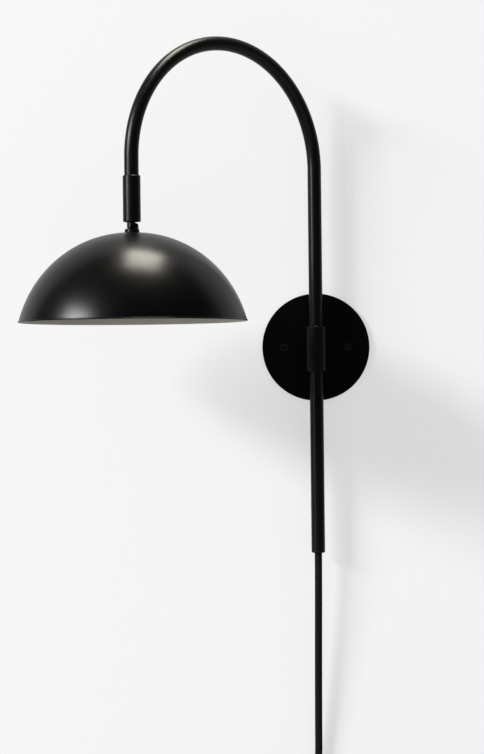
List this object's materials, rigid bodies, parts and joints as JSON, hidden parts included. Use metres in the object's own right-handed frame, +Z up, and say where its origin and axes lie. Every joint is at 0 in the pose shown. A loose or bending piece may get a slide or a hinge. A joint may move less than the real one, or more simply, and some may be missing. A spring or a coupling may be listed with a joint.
{
  "type": "swing arm wall sconce",
  "caption": "Wall sconce with a round backplate, a swinging cane-shaped tube, a tilting dome shade and a supply cord that hangs from a straight tail tube.",
  "frame": {"origin": "centre of the backplate's back face, on the wall", "axes": "+Z up, +Y into the wall, +X to the right for someone who faces the wall"},
  "size_m": [0.3937, 0.3679, 1.0339],
  "materials": {
    "black_satin_metal": "satin black powder coat",
    "shade_paint": "satin black outside, pale warm grey inside",
    "black_screws": "black oxide",
    "plated_steel": "zinc plated",
    "yellow_brass": "drawn",
    "nylon_black": "moulded",
    "holder_black": "moulded phenolic",
    "holder_white": "moulded insulator",
    "lamp_cap_metal": "rolled thread",
    "frosted_glass": "frosted white",
    "cord_braid": "braided textile",
    "core_insulation": "extruded",
    "tie_strap": "hook and loop strap",
    "plug_black": "moulded",
    "plug_pins": "nickel plated"
  },
  "bodies": {
    "wall_bracket": {"backplate": "black_satin_metal", "wall_screws": "black_screws", "standoff_post": "black_satin_metal", "post_screw": "plated_steel", "bracket_sleeve": "black_satin_metal", "swivel_bush": "nylon_black", "arm_stop_screw": "black_screws", "tail_set_screw": "black_screws", "tail_tube": "black_satin_metal", "tail_lead": "cord_braid", "end_gland": "nylon_black", "cord_grip": "plated_steel", "cord_drop": "cord_braid", "cord_coil": "cord_braid", "cord_tie": "tie_strap", "plug_relief": "plug_black", "plug_body": "plug_black", "plug_blades": "plug_pins"},
    "arm": {"arch_tube": "black_satin_metal", "swivel_collar": "black_satin_metal", "collar_screw": "black_screws", "end_sleeve": "black_satin_metal", "arm_lead": "cord_braid"},
    "knuckle": {"knuckle_stem": "black_satin_metal", "pan_washer": "plated_steel", "pan_nut": "plated_steel", "stem_wires": "core_insulation", "pivot_screw": "black_screws"},
    "shade_head": {"knuckle_seat": "black_satin_metal", "pivot_washer": "plated_steel", "nipple": "yellow_brass", "shade": "shade_paint", "shade_washer": "plated_steel", "shade_nut": "plated_steel", "socket_cap": "holder_black", "socket_body": "holder_black", "terminal_block": "holder_white", "screw_shell": "yellow_brass", "centre_contact": "yellow_brass", "socket_wires": "core_insulation", "bulb_base": "lamp_cap_metal", "bulb_globe": "frosted_glass"}
  },
  "joints": [
    {"name": "arm_swivel", "type": "hinge", "parent": "wall_bracket", "child": "arm", "pos_m": [0, -0.025, 0.012], "axis": [0, 0, 1], "range_deg": [-18, 114]},
    {"name": "shade_pan", "type": "hinge", "parent": "arm", "child": "knuckle", "pos_m": [-0.20362, -0.20834, 0.143], "axis": [0, 0, 1], "range_deg": [-165, 165]},
    {"name": "shade_tilt", "type": "hinge", "parent": "knuckle", "child": "shade_head", "pos_m": [-0.20362, -0.20834, 0.1328], "axis": [0.7431, 0.6691, 0], "range_deg": [-45, 45]}
  ]
}
